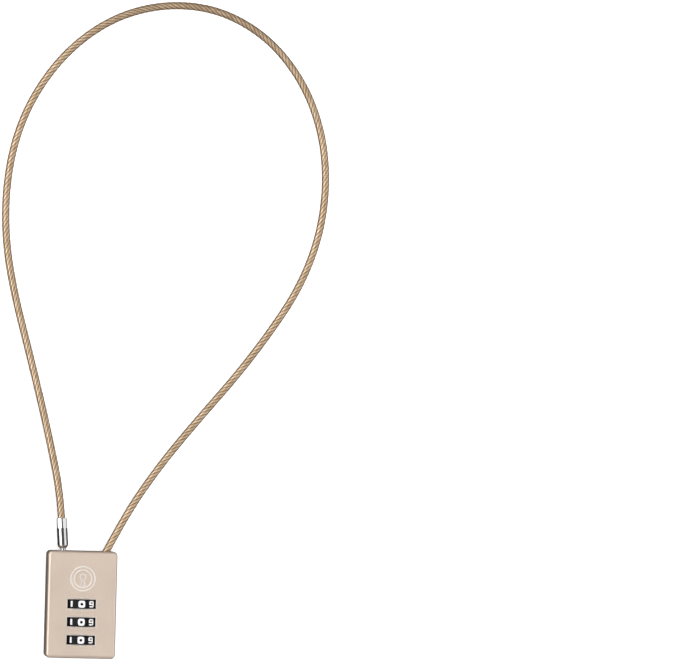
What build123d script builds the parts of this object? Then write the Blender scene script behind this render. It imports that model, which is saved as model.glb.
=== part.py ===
from build123d import *
import math
import os

# Three-dial combination padlock with a captive wire-rope loop, lying on its back.
# Millimetres. The origin is the centre of the rear face. +Z leaves the dial face,
# +Y runs along the body to the end that the cable leaves, +X is to the right of the dials.

os.makedirs("parts", exist_ok=True)

# Body
BODY_WIDTH = 20.5
BODY_LENGTH = 31.6
BODY_THICK = 11.0
CORNER_RADIUS = 1.25
INNER_CORNER = 0.5
FRONT_FILLET = 0.9
REAR_FILLET = 0.5
SIDE_WALL = 1.2
FRONT_WALL = 1.2
TOP_WALL = 2.0
BOTTOM_WALL = 1.4
COVER_THICK = 1.6
COVER_THIN = 1.0
LIP_HEIGHT = 0.6
LIP_THICK = 0.7
LIP_GAP = 0.1
TOP_Y = BODY_LENGTH / 2
INNER_TOP_Y = TOP_Y - TOP_WALL
INNER_BOTTOM_Y = BOTTOM_WALL - TOP_Y
INNER_X = BODY_WIDTH / 2 - SIDE_WALL
INNER_Z = BODY_THICK - FRONT_WALL
RIB_REAR_Z = 2.4

# Small gaps and allowances
FIT = 0.05
BORE_SLACK = 0.02
SLOT_SLACK = 0.04
NOTCH_GAP = 0.1
HOLLOW_GAP = 0.3
WALL_BITE = 0.3
BEYOND = 1.0
SMALL_EDGE = 0.2

# Dials, turning about a line parallel to Y
DIAL_RADIUS = 5.0
DIAL_WIDTH = 2.55
DIAL_PROUD = 0.45
DIAL_PITCH = 5.3
TOP_DIAL_Y = 0.2
DIAL_COUNT = 3
DIAL_YS = [TOP_DIAL_Y - DIAL_PITCH * k for k in range(DIAL_COUNT)]
AXIS_Z = BODY_THICK + DIAL_PROUD - DIAL_RADIUS
DIGITS = 10
DIGIT_STEP = 360 / DIGITS
GROOVE_WIDTH = 0.9
GROOVE_DEPTH = 0.25
RIM_CHAMFER = 0.15
WINDOW_WIDTH = 8.4
WINDOW_HEIGHT = 2.75
WINDOW_CHAMFER = 0.3
DIAL_SIDE_GAP = 0.2

# Numerals
DIGIT_HEIGHT = 1.9
DIGIT_WIDTH = 1.7
DIGIT_CORNER = 0.5
ZERO_HEIGHT = 2.05
ZERO_WIDTH = 2.0
ZERO_CORNER = 0.6
ZERO_HOLE = 0.42
ONE_HEIGHT = 1.75
ONE_WIDTH = 0.66
STROKE = 0.42
BAR_CORNER = 0.2
PAINT = 0.04
NUMERAL_ROOT = 0.5

# Clutch rings, the sleeves that couple the dials to the spindle's gates
RING_RADIUS = 3.05
RING_BORE = 1.95
RING_LOW = -0.9
RING_HIGH = 3.45
DIAL_BORE = 3.1
TOOTH_RADIUS = 3.28
TOOTH_WIDTH = 0.8
TOOTH_BAND = 0.8
NOTCH_RADIUS = 3.36
NOTCH_WIDTH = 0.9
NOTCH_BAND = 1.0
RELIEF_RADIUS = 3.5
FORK_GROOVE_LOW = 2.35
FORK_GROOVE_WIDTH = 0.7
FORK_GROOVE_RADIUS = 2.4
WEB_LOW = 0.3
WEB_THICK = 0.6
WEB_BORE = 1.28
GATE_WIDTH = 1.0
SPOKE_DEPTH = 0.8

# Spindle
CORE_RADIUS = 1.2
SQUARE = 2.0
SQUARE_START_Y = 2.3
FIN_HEIGHT = 1.8
FIN_WIDTH = 0.8
FIN_LENGTH = 0.7
FIN_GAP = 0.1
SPINDLE_LOW_Y = -14.9
HEAD_LOW_Y = 9.9
HEAD_THICK = 1.0
ARM_REACH = 4.3
ARM_LOW_Z = 5.7
ARM_HIGH_Z = 7.2
COLLAR_RADIUS = 1.8
COLLAR_LOW_Y = 5.35
COLLAR_THICK = 0.5

# Ribs that carry the spindle
KEY_RIB_LOW_Y = 4.0
KEY_RIB_THICK = 1.2
SPRING_RIB_LOW_Y = 8.3
SPRING_RIB_THICK = 1.0
SPRING_RIB_HALF = 2.4
SPRING_RIB_REAR_Z = 3.4
FOOT_RIB_HIGH_Y = -12.5
FOOT_RIB_HALF = 2.2
DIAL_RIB_X = -3.6

# Blocks inside the front casing: round the lock pin at the end wall and at its tip, and behind the anchor
SOCKET_RIGHT_X = -3.4
SOCKET_LOW_Y = 12.7
SOCKET_REAR_Z = 3.3
GUIDE_RIGHT_X = -4.85
GUIDE_Y = (7.8, 9.4)
STOP_X = (2.9, 5.2)
STOP_Y = (6.7, 8.0)
STOP_REAR_Z = 3.0

# Posts and pads of the rear cover
COVER_POST_HALF = 0.9
PAD_X = (4.6, 6.4)
PAD_Y = (9.8, 12.2)

# Lock pin, its ferrule and its latch
CORD_Z = BODY_THICK / 2
PIN_X = -5.55
PIN_RADIUS = 0.75
PIN_TIP_Y = 8.5
PIN_TIP_GAP = 0.3
PIN_CHAMFER = 0.3
PIN_GROOVE_RADIUS = 0.45
PIN_GROOVE_LOW_Y = 9.8
PIN_GROOVE_WIDTH = 1.0
NECK_Y = 16.0
FERRULE_LEAN = 4.2
FERRULE_RADIUS = 1.57
FERRULE_START = 0.35
FERRULE_END = 9.35
DOME_RADIUS = 1.25
CRIMP_LENGTH = 2.95
CRIMP_HALF = 1.45
CRIMP_FLATS = 6
FERRULE_RUN = 15.5
SHANK_END = 3.5
CORD_END = 4.5
LEAF_X = -4.7
LEAF_THICK = 0.35
LEAF_LOW_Y = 3.2
LEAF_HIGH_Y = 11.2
LEAF_LOW_Z = 4.0
LEAF_WIDTH = 3.0
LATCH_TOOTH_HALF = 0.6
LATCH_TOOTH_GAP = 0.15
LATCH_TIP_GAP = 0.08

# Cable
CORD_RADIUS = 1.1
EXIT_X = 7.2
EXIT_LEAN = 27.0
CORD_START = -5.5
EXIT_RUN = 7.0
CORD_FLOOR_Z = CORD_RADIUS
ANCHOR_RADIUS = 1.7
ANCHOR_BACK = -7.6
ANCHOR_FRONT = -3.2
EXIT_BORE = 1.25
ARC_SHARE = 0.45

# Reset button and slider
BUTTON_X = -0.9
BUTTON_Z = 8.6
BUTTON_RADIUS = 0.6
BUTTON_FLANGE = 0.9
BUTTON_TOP_Y = TOP_Y - FIT
BUTTON_EDGE = 0.15
SLIDER_LOW_Z = 7.95
SLIDER_HIGH_Z = 9.3
CROSSBAR_LOW_Y = 12.35
CROSSBAR_HIGH_Y = 13.2
CROSSBAR_LEFT_X = -1.6
RAIL_LEFT_X = 5.55
RAIL_RIGHT_X = 6.5
FORK_LEFT_X = -0.6
FORK_REAR_Z = 3.3
FORK_THICK = 0.6

# Coil springs: radius of the middle line, wire diameter and turns
SPINDLE_COIL = (1.65, 0.2, 3)
RESET_COIL = (0.5, 0.2, 5)

# Rivets
RIVET_X = 7.8
RIVET_YS = (7.0, -12.4)
RIVET_SHANK = 0.6
RIVET_HEAD = 1.05
RIVET_HEAD_DEPTH = 0.5
RIVET_TOP_Z = 6.0
POST_RADIUS = 1.1
POST_GAP = 0.05

# Detent leaf, pressing into the grooves at the left of the dials
DETENT_X = -5.45
DETENT_THICK = 0.25
DETENT_HALF_WIDTH = 0.8
DETENT_LOW_Y = -13.2
DETENT_HIGH_Y = 3.4
RIDGE_RADIUS = 0.4
RIDGE_LENGTH = 1.2


def section(y):
    """A plane across the dial axis at height y: local x is +X, local y is +Z, and it extrudes to -Y."""
    return Plane(origin=(0, y, AXIS_Z), x_dir=(1, 0, 0), z_dir=(0, -1, 0))


def block(x, y, z, mode=Mode.ADD):
    """A box between the two values given for each of x, y and z."""
    middle = [(low + high) / 2 for low, high in (x, y, z)]
    size = [high - low for low, high in (x, y, z)]
    with Locations(tuple(middle)):
        Box(*size, mode=mode)


def disc(radius, low, high, mode=Mode.ADD):
    """A cylinder on the dial axis between two heights in y."""
    with BuildSketch(section(high)) as outline:
        Circle(radius)
    extrude(outline.sketch, amount=high - low, mode=mode)


def spokes(radius, width, low, high, start, mode=Mode.ADD):
    """One bar for each digit, reaching from well inside out to radius."""
    with BuildSketch(section(high)) as outline:
        with PolarLocations(radius - SPOKE_DEPTH / 2, DIGITS, start_angle=start):
            Rectangle(SPOKE_DEPTH, width)
    extrude(outline.sketch, amount=high - low, mode=mode)


def finish(builder, name):
    """Label a finished piece and write its file."""
    builder.part.label = name
    export_step(builder.part, f"parts/{name}.step")


# Front casing: five walls, the dial windows, and the ribs, guides and posts inside
key_rib = (KEY_RIB_LOW_Y, KEY_RIB_LOW_Y + KEY_RIB_THICK)
spring_rib = (SPRING_RIB_LOW_Y, SPRING_RIB_LOW_Y + SPRING_RIB_THICK)
foot_rib = (INNER_BOTTOM_Y - WALL_BITE, FOOT_RIB_HIGH_Y)
rib_z = (RIB_REAR_Z, INNER_Z + WALL_BITE)
left_x = (-INNER_X - WALL_BITE, DIAL_RIB_X)
dial_side = DIAL_WIDTH / 2 + DIAL_SIDE_GAP
square_half = SQUARE / 2 + FIT
notch_top_z = AXIS_Z + square_half
exit_direction = (math.sin(math.radians(EXIT_LEAN)), math.cos(math.radians(EXIT_LEAN)), 0)
exit_plane = Plane(origin=(EXIT_X, TOP_Y, CORD_Z), z_dir=exit_direction)

with BuildPart() as front_casing:
    with BuildSketch(Plane.XY.offset(COVER_THICK)):
        RectangleRounded(BODY_WIDTH, BODY_LENGTH, CORNER_RADIUS)
    extrude(amount=BODY_THICK - COVER_THICK)
    fillet(front_casing.edges().group_by(Axis.Z)[-1], FRONT_FILLET)
    with BuildSketch(Plane.XY.offset(COVER_THICK)):
        with Locations((0, (INNER_TOP_Y + INNER_BOTTOM_Y) / 2)):
            RectangleRounded(2 * INNER_X, INNER_TOP_Y - INNER_BOTTOM_Y, INNER_CORNER)
    extrude(amount=INNER_Z - COVER_THICK, mode=Mode.SUBTRACT)
    # dividers at the left of the dials, and the end stops above and below them
    for upper, lower in zip(DIAL_YS, DIAL_YS[1:]):
        block(left_x, (lower + dial_side, upper - dial_side), rib_z)
    block(left_x, (foot_rib[0], DIAL_YS[-1] - dial_side), rib_z)
    block(left_x, (DIAL_YS[0] + dial_side, key_rib[1]), rib_z)
    # the three ribs that carry the spindle
    block((DIAL_RIB_X - WALL_BITE, SPRING_RIB_HALF), key_rib, rib_z)
    block((-SPRING_RIB_HALF, SPRING_RIB_HALF), spring_rib, (SPRING_RIB_REAR_Z, rib_z[1]))
    block((-FOOT_RIB_HALF, FOOT_RIB_HALF), foot_rib, rib_z)
    # socket block, pin guide and anchor stop
    socket_y = (SOCKET_LOW_Y, INNER_TOP_Y + WALL_BITE)
    block((left_x[0], SOCKET_RIGHT_X), socket_y, (SOCKET_REAR_Z, rib_z[1]))
    block((left_x[0], GUIDE_RIGHT_X), GUIDE_Y, rib_z)
    block(STOP_X, STOP_Y, (STOP_REAR_Z, rib_z[1]))
    # posts that take the rivets
    with BuildSketch(Plane.XY.offset(COVER_THICK + LIP_HEIGHT + 2 * POST_GAP)):
        for y in RIVET_YS:
            with Locations((-RIVET_X, y), (RIVET_X, y)):
                Circle(POST_RADIUS)
    extrude(until=Until.NEXT)
    with BuildSketch(Plane.XY.offset(COVER_THICK)):
        for y in RIVET_YS:
            with Locations((-RIVET_X, y), (RIVET_X, y)):
                Circle(RIVET_SHANK + BORE_SLACK)
    extrude(amount=RIVET_TOP_Z + POST_GAP - COVER_THICK, mode=Mode.SUBTRACT)
    # notches, open to the rear, for the spindle's square and its round foot
    block((-square_half, square_half), key_rib, (COVER_THICK, notch_top_z), Mode.SUBTRACT)
    block((-square_half, square_half), spring_rib, (COVER_THICK, notch_top_z), Mode.SUBTRACT)
    foot_half = CORE_RADIUS + FIT
    foot_y = (INNER_BOTTOM_Y, FOOT_RIB_HIGH_Y)
    block((-foot_half, foot_half), foot_y, (COVER_THICK, AXIS_Z + foot_half), Mode.SUBTRACT)
    disc(foot_half, SPINDLE_LOW_Y - NOTCH_GAP, INNER_BOTTOM_Y + FIT, Mode.SUBTRACT)
    # slots, open to the rear, for the detent leaf and for the foot of the latch leaf
    detent_x = (DETENT_X - SLOT_SLACK, DETENT_X + DETENT_THICK + SLOT_SLACK)
    detent_y = (DETENT_LOW_Y - SLOT_SLACK, DETENT_HIGH_Y + SLOT_SLACK)
    detent_top_z = AXIS_Z + DETENT_HALF_WIDTH + SLOT_SLACK
    block(detent_x, detent_y, (COVER_THICK, detent_top_z), Mode.SUBTRACT)
    leaf_x = (LEAF_X - SLOT_SLACK, LEAF_X + LEAF_THICK + SLOT_SLACK)
    leaf_top_z = LEAF_LOW_Z + LEAF_WIDTH + SLOT_SLACK
    block(leaf_x, (LEAF_LOW_Y - SLOT_SLACK, key_rib[1]), (COVER_THICK, leaf_top_z), Mode.SUBTRACT)
    # socket for the lock pin, slanted bore for the cable, bore for the reset button
    socket_bore = (SOCKET_LOW_Y - NOTCH_GAP, TOP_Y)
    guide_bore = (PIN_TIP_Y - PIN_TIP_GAP, GUIDE_Y[1] + NOTCH_GAP)
    for low_y, high_y in (socket_bore, guide_bore):
        with BuildSketch(section(high_y)):
            with Locations((PIN_X, CORD_Z - AXIS_Z)):
                Circle(PIN_RADIUS + FIT)
        extrude(amount=high_y - low_y, mode=Mode.SUBTRACT)
    with BuildSketch(exit_plane.offset(-2 * TOP_WALL)):
        Circle(EXIT_BORE)
    extrude(amount=3 * TOP_WALL, mode=Mode.SUBTRACT)
    with BuildSketch(section(TOP_Y)):
        with Locations((BUTTON_X, BUTTON_Z - AXIS_Z)):
            Circle(BUTTON_RADIUS + FIT)
    extrude(amount=TOP_WALL, mode=Mode.SUBTRACT)
    # dial windows, with a small chamfer round each
    with BuildSketch(Plane.XY.offset(BODY_THICK)):
        for y in DIAL_YS:
            with Locations((0, y)):
                Rectangle(WINDOW_WIDTH, WINDOW_HEIGHT)
    extrude(amount=-FRONT_WALL, mode=Mode.SUBTRACT)
    rims = front_casing.faces().filter_by(Plane.XY).sort_by(Axis.Z)[-1].inner_wires()
    chamfer([edge for rim in rims for edge in rim.edges()], WINDOW_CHAMFER)
finish(front_casing, "front_casing")

# Rear cover: a plate, thinner behind the dials, with a locating lip and the posts that close the notches
post_top_z = COVER_THICK + LIP_HEIGHT + POST_GAP
with BuildPart() as rear_cover:
    with BuildSketch():
        RectangleRounded(BODY_WIDTH, BODY_LENGTH, CORNER_RADIUS)
    extrude(amount=COVER_THICK)
    fillet(rear_cover.edges().group_by(Axis.Z)[0], REAR_FILLET)
    lip_width = 2 * (INNER_X - LIP_GAP)
    lip_length = INNER_TOP_Y - INNER_BOTTOM_Y - 2 * LIP_GAP
    with BuildSketch(Plane.XY.offset(COVER_THICK)):
        with Locations((0, (INNER_TOP_Y + INNER_BOTTOM_Y) / 2)):
            RectangleRounded(lip_width, lip_length, INNER_CORNER)
            Rectangle(lip_width - 2 * LIP_THICK, lip_length - 2 * LIP_THICK, mode=Mode.SUBTRACT)
        for y in RIVET_YS:
            with Locations((-RIVET_X, y), (RIVET_X, y)):
                Circle(POST_RADIUS)
    extrude(amount=LIP_HEIGHT + POST_GAP)
    hollow_x = (-DIAL_RADIUS - HOLLOW_GAP, DIAL_RADIUS + HOLLOW_GAP)
    hollow_y = (DIAL_YS[-1] - DIAL_WIDTH / 2 - 2 * HOLLOW_GAP, DIAL_YS[0] + DIAL_WIDTH / 2 + 2 * HOLLOW_GAP)
    block(hollow_x, hollow_y, (COVER_THIN, COVER_THICK), Mode.SUBTRACT)
    post_x = (-COVER_POST_HALF, COVER_POST_HALF)
    post_foot_z = COVER_THICK - WALL_BITE
    for rib in (key_rib, spring_rib):
        rib_y = (rib[0] + NOTCH_GAP, rib[1] - NOTCH_GAP)
        block(post_x, rib_y, (post_foot_z, AXIS_Z - SQUARE / 2 - FIT))
    foot_post_y = (INNER_BOTTOM_Y + 2 * NOTCH_GAP, FOOT_RIB_HIGH_Y - NOTCH_GAP)
    block(post_x, foot_post_y, (post_foot_z, AXIS_Z - CORE_RADIUS - FIT))
    block(PAD_X, PAD_Y, (post_foot_z, CORD_Z - ANCHOR_RADIUS - FIT))
    with BuildSketch(Plane.XY):
        for y in RIVET_YS:
            with Locations((-RIVET_X, y), (RIVET_X, y)):
                Circle(RIVET_SHANK + BORE_SLACK)
    extrude(amount=post_top_z, mode=Mode.SUBTRACT)
    for y in RIVET_YS:
        for x in (-RIVET_X, RIVET_X):
            with BuildSketch(Plane((x, y, 0))):
                Circle(RIVET_HEAD + BORE_SLACK)
            with BuildSketch(Plane((x, y, RIVET_HEAD_DEPTH))):
                Circle(RIVET_SHANK + BORE_SLACK)
            loft(mode=Mode.SUBTRACT)
finish(rear_cover, "rear_cover")

# Four countersunk rivets, set into the posts from the rear
with BuildPart() as cover_rivets:
    for y in RIVET_YS:
        for x in (-RIVET_X, RIVET_X):
            with BuildSketch(Plane((x, y, 0))):
                Circle(RIVET_HEAD)
            with BuildSketch(Plane((x, y, RIVET_HEAD_DEPTH))):
                Circle(RIVET_SHANK)
            loft()
            with BuildSketch(Plane((x, y, RIVET_HEAD_DEPTH))):
                Circle(RIVET_SHANK)
            extrude(amount=RIVET_TOP_Z - RIVET_HEAD_DEPTH)
finish(cover_rivets, "cover_rivets")

# Seven bars of a blocky numeral: the place of each bar's middle and its size
inset = DIGIT_WIDTH / 2 - STROKE / 2
rise = DIGIT_HEIGHT / 2 - STROKE / 2
bar_length = rise + STROKE
BARS = {
    "top": (0, rise, DIGIT_WIDTH, STROKE),
    "middle": (0, 0, DIGIT_WIDTH, STROKE),
    "bottom": (0, -rise, DIGIT_WIDTH, STROKE),
    "upper_left": (-inset, rise / 2, STROKE, bar_length),
    "upper_right": (inset, rise / 2, STROKE, bar_length),
    "lower_left": (-inset, -rise / 2, STROKE, bar_length),
    "lower_right": (inset, -rise / 2, STROKE, bar_length),
}
NUMERALS = {
    2: ("top", "upper_right", "middle", "lower_left", "bottom"),
    3: ("top", "upper_right", "middle", "lower_right", "bottom"),
    4: ("upper_left", "upper_right", "middle", "lower_right"),
    5: ("top", "upper_left", "middle", "lower_right", "bottom"),
    6: ("top", "upper_left", "middle", "lower_left", "lower_right", "bottom"),
    7: ("top", "upper_right", "lower_right"),
    8: tuple(BARS),
    9: ("top", "upper_left", "upper_right", "middle", "lower_right", "bottom"),
}


def draw_numeral(digit):
    """Add one numeral to the sketch in hand, upright along the plane's local y."""
    if digit == 0:
        RectangleRounded(ZERO_WIDTH, ZERO_HEIGHT, ZERO_CORNER)
        Circle(ZERO_HOLE, mode=Mode.SUBTRACT)
    elif digit == 1:
        RectangleRounded(ONE_WIDTH, ONE_HEIGHT, BAR_CORNER)
    else:
        for name in NUMERALS[digit]:
            x, y, width, height = BARS[name]
            with Locations((x, y)):
                RectangleRounded(width, height, BAR_CORNER)
        RectangleRounded(DIGIT_WIDTH, DIGIT_HEIGHT, DIGIT_CORNER, mode=Mode.INTERSECT)


for number, dial_y in enumerate(DIAL_YS, start=1):
    # Dial: grip grooves midway between the numerals, and a notched bore for the clutch ring
    with BuildPart() as dial:
        disc(DIAL_RADIUS, dial_y - DIAL_WIDTH / 2, dial_y + DIAL_WIDTH / 2)
        chamfer(dial.edges(), RIM_CHAMFER)
        with BuildSketch(section(dial_y + DIAL_WIDTH / 2)):
            with PolarLocations(DIAL_RADIUS, DIGITS, start_angle=90 + DIGIT_STEP / 2):
                Rectangle(2 * GROOVE_DEPTH, GROOVE_WIDTH)
        extrude(amount=DIAL_WIDTH, mode=Mode.SUBTRACT)
        disc(DIAL_BORE, dial_y - DIAL_WIDTH, dial_y + DIAL_WIDTH, Mode.SUBTRACT)
        disc(RELIEF_RADIUS, dial_y - DIAL_WIDTH, dial_y - NOTCH_BAND, Mode.SUBTRACT)
        spokes(NOTCH_RADIUS, NOTCH_WIDTH, dial_y - NOTCH_BAND, dial_y, 90, Mode.SUBTRACT)
    finish(dial, f"dial_{number}")

    # Numerals: a thin coat of paint on the dial's rim, digit 0 at the front
    with BuildPart() as dial_numerals:
        for digit in range(DIGITS):
            turn = math.radians(90 + DIGIT_STEP * digit)
            outward = (math.cos(turn), 0, math.sin(turn))
            root = DIAL_RADIUS - NUMERAL_ROOT
            start = (outward[0] * root, dial_y, AXIS_Z + outward[2] * root)
            tangent = (math.sin(turn), 0, -math.cos(turn))
            with BuildSketch(Plane(origin=start, x_dir=tangent, z_dir=outward)):
                draw_numeral(digit)
            extrude(amount=2 * NUMERAL_ROOT)
        with BuildSketch(section(dial_y + DIAL_WIDTH)):
            Circle(DIAL_RADIUS + PAINT)
            Circle(DIAL_RADIUS, mode=Mode.SUBTRACT)
        extrude(amount=2 * DIAL_WIDTH, mode=Mode.INTERSECT)
    finish(dial_numerals, f"dial_{number}_numerals")

    # Clutch ring: outer teeth, a groove for the reset fork, and a gated web inside its bore
    with BuildPart() as clutch_ring:
        disc(RING_RADIUS, dial_y + RING_LOW, dial_y + RING_HIGH)
        spokes(TOOTH_RADIUS, TOOTH_WIDTH, dial_y + RING_LOW, dial_y + RING_LOW + TOOTH_BAND, 90)
        disc(RING_BORE, dial_y + RING_LOW, dial_y + WEB_LOW, Mode.SUBTRACT)
        disc(RING_BORE, dial_y + WEB_LOW + WEB_THICK, dial_y + RING_HIGH, Mode.SUBTRACT)
        disc(WEB_BORE, dial_y + RING_LOW, dial_y + RING_HIGH, Mode.SUBTRACT)
        gate_y = (dial_y + WEB_LOW, dial_y + WEB_LOW + WEB_THICK)
        block((-GATE_WIDTH / 2, GATE_WIDTH / 2), gate_y, (AXIS_Z, AXIS_Z + RING_BORE), Mode.SUBTRACT)
        groove_high_y = dial_y + FORK_GROOVE_LOW + FORK_GROOVE_WIDTH
        with BuildSketch(section(groove_high_y)):
            Circle(RING_RADIUS + BEYOND)
            Circle(FORK_GROOVE_RADIUS, mode=Mode.SUBTRACT)
        extrude(amount=FORK_GROOVE_WIDTH, mode=Mode.SUBTRACT)
    finish(clutch_ring, f"clutch_ring_{number}")

# Spindle: a round core with one fin behind each web, a square key, a spring collar and the latch arm
head_y = (HEAD_LOW_Y, HEAD_LOW_Y + HEAD_THICK)
with BuildPart() as spindle:
    disc(CORE_RADIUS, SPINDLE_LOW_Y, SQUARE_START_Y)
    chamfer(spindle.edges().group_by(Axis.Y)[0], SMALL_EDGE)
    square_x = (-SQUARE / 2, SQUARE / 2)
    block(square_x, (SQUARE_START_Y, head_y[1]), (AXIS_Z - SQUARE / 2, AXIS_Z + SQUARE / 2))
    disc(COLLAR_RADIUS, COLLAR_LOW_Y, COLLAR_LOW_Y + COLLAR_THICK)
    block((-ARM_REACH, 0), head_y, (ARM_LOW_Z, ARM_HIGH_Z))
    for dial_y in DIAL_YS:
        fin_high_y = dial_y + WEB_LOW - FIN_GAP
        fin_y = (fin_high_y - FIN_LENGTH, fin_high_y)
        block((-FIN_WIDTH / 2, FIN_WIDTH / 2), fin_y, (AXIS_Z, AXIS_Z + FIN_HEIGHT))
finish(spindle, "spindle")


def coil_spring(middle_x, middle_z, low_y, high_y, radius, wire, turns):
    """A coil of round wire along Y between two faces, with its middle line at middle_x, middle_z."""
    height = high_y - low_y - wire - 2 * BORE_SLACK
    start = (middle_x, low_y + wire / 2 + BORE_SLACK, middle_z)
    with BuildLine() as coil:
        Helix(pitch=height / turns, height=height, radius=radius, center=start, direction=(0, 1, 0))
    with BuildSketch(Plane(origin=coil.line @ 0, z_dir=coil.line % 0)) as wire_section:
        Circle(wire / 2)
    sweep(wire_section.sketch, path=coil.line, is_frenet=True)


# Spindle spring: holds the spindle down, away from the gates
with BuildPart() as spindle_spring:
    coil_spring(0, AXIS_Z, COLLAR_LOW_Y + COLLAR_THICK, SPRING_RIB_LOW_Y, *SPINDLE_COIL)
finish(spindle_spring, "spindle_spring")

# Reset spring: lifts the slider again
with BuildPart() as reset_spring:
    coil_spring(BUTTON_X, BUTTON_Z, spring_rib[1], CROSSBAR_LOW_Y, *RESET_COIL)
finish(reset_spring, "reset_spring")

# Latch leaf: a flat spring held in the key rib, with a tooth in the lock pin's groove
with BuildPart() as latch_leaf:
    leaf_z = (LEAF_LOW_Z, LEAF_LOW_Z + LEAF_WIDTH)
    block((LEAF_X, LEAF_X + LEAF_THICK), (LEAF_LOW_Y, LEAF_HIGH_Y), leaf_z)
    tooth_x = (PIN_X + PIN_GROOVE_RADIUS + LATCH_TIP_GAP, LEAF_X + LEAF_THICK / 2)
    tooth_y = (PIN_GROOVE_LOW_Y + LATCH_TOOTH_GAP, PIN_GROOVE_LOW_Y + PIN_GROOVE_WIDTH - LATCH_TOOTH_GAP)
    block(tooth_x, tooth_y, (CORD_Z - LATCH_TOOTH_HALF, CORD_Z + LATCH_TOOTH_HALF))
finish(latch_leaf, "latch_leaf")

# Detent leaf: a flat strip with a rounded ridge in a groove of each dial
with BuildPart() as detent_leaf:
    detent_z = (AXIS_Z - DETENT_HALF_WIDTH, AXIS_Z + DETENT_HALF_WIDTH)
    for dial_y in DIAL_YS:
        with BuildSketch(section(dial_y + RIDGE_LENGTH / 2)):
            with Locations((DETENT_X + DETENT_THICK, 0)):
                Circle(RIDGE_RADIUS)
        extrude(amount=RIDGE_LENGTH)
    block((DETENT_X - BEYOND, DETENT_X), (DETENT_LOW_Y, DETENT_HIGH_Y), detent_z, Mode.SUBTRACT)
    block((DETENT_X, DETENT_X + DETENT_THICK), (DETENT_LOW_Y, DETENT_HIGH_Y), detent_z)
finish(detent_leaf, "detent_leaf")

# Reset button: a flush pin in the end face, kept in by its flange
with BuildPart() as reset_button:
    with BuildSketch(section(BUTTON_TOP_Y)):
        with Locations((BUTTON_X, BUTTON_Z - AXIS_Z)):
            Circle(BUTTON_RADIUS)
    extrude(amount=BUTTON_TOP_Y - CROSSBAR_HIGH_Y - BORE_SLACK)
    fillet(reset_button.edges().group_by(Axis.Y)[-1], BUTTON_EDGE)
    with BuildSketch(section(INNER_TOP_Y - BORE_SLACK)):
        with Locations((BUTTON_X, BUTTON_Z - AXIS_Z)):
            Circle(BUTTON_FLANGE)
    extrude(amount=INNER_TOP_Y - CROSSBAR_HIGH_Y - 2 * BORE_SLACK)
finish(reset_button, "reset_button")

# Reset slider: a crossbar under the button, a rail past the dials and a fork in each ring's groove
slider_z = (SLIDER_LOW_Z, SLIDER_HIGH_Z)
fork_lift = FORK_GROOVE_LOW + (FORK_GROOVE_WIDTH - FORK_THICK) / 2
with BuildPart() as reset_slider:
    block((CROSSBAR_LEFT_X, RAIL_RIGHT_X), (CROSSBAR_LOW_Y, CROSSBAR_HIGH_Y), slider_z)
    block((RAIL_LEFT_X, RAIL_RIGHT_X), (DIAL_YS[-1] + fork_lift, CROSSBAR_HIGH_Y), slider_z)
    for dial_y in DIAL_YS:
        fork_y = (dial_y + fork_lift, dial_y + fork_lift + FORK_THICK)
        block((FORK_LEFT_X, RAIL_RIGHT_X), fork_y, (FORK_REAR_Z, SLIDER_HIGH_Z))
        disc(FORK_GROOVE_RADIUS + FIT, fork_y[0], fork_y[1], Mode.SUBTRACT)
        slot_half = FORK_GROOVE_RADIUS + FIT
        block((FORK_LEFT_X, 0), fork_y, (AXIS_Z - slot_half, AXIS_Z + slot_half), Mode.SUBTRACT)
finish(reset_slider, "reset_slider")

# Lock pin: straight and grooved in the socket, leaning a little in the ferrule
lean = math.radians(FERRULE_LEAN)
ferrule_direction = Vector(-math.sin(lean), math.cos(lean), 0)
neck = Vector(PIN_X, NECK_Y, CORD_Z)
ferrule_plane = Plane(origin=neck, x_dir=(math.cos(lean), math.sin(lean), 0), z_dir=(0, 0, 1))
ferrule_axis = Axis(neck, ferrule_direction)
with BuildPart() as lock_pin:
    with BuildSketch(section(NECK_Y)):
        with Locations((PIN_X, CORD_Z - AXIS_Z)):
            Circle(PIN_RADIUS)
    extrude(amount=NECK_Y - PIN_TIP_Y)
    chamfer(lock_pin.edges().group_by(Axis.Y)[0], PIN_CHAMFER)
    with BuildSketch(section(PIN_GROOVE_LOW_Y + PIN_GROOVE_WIDTH)):
        with Locations((PIN_X, CORD_Z - AXIS_Z)):
            Circle(PIN_RADIUS + BEYOND)
            Circle(PIN_GROOVE_RADIUS, mode=Mode.SUBTRACT)
    extrude(amount=PIN_GROOVE_WIDTH, mode=Mode.SUBTRACT)
    with Locations(neck):
        Sphere(PIN_RADIUS)
    with BuildSketch(Plane(origin=neck, z_dir=ferrule_direction)):
        Circle(PIN_RADIUS)
    extrude(amount=SHANK_END)
finish(lock_pin, "lock_pin")

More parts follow.
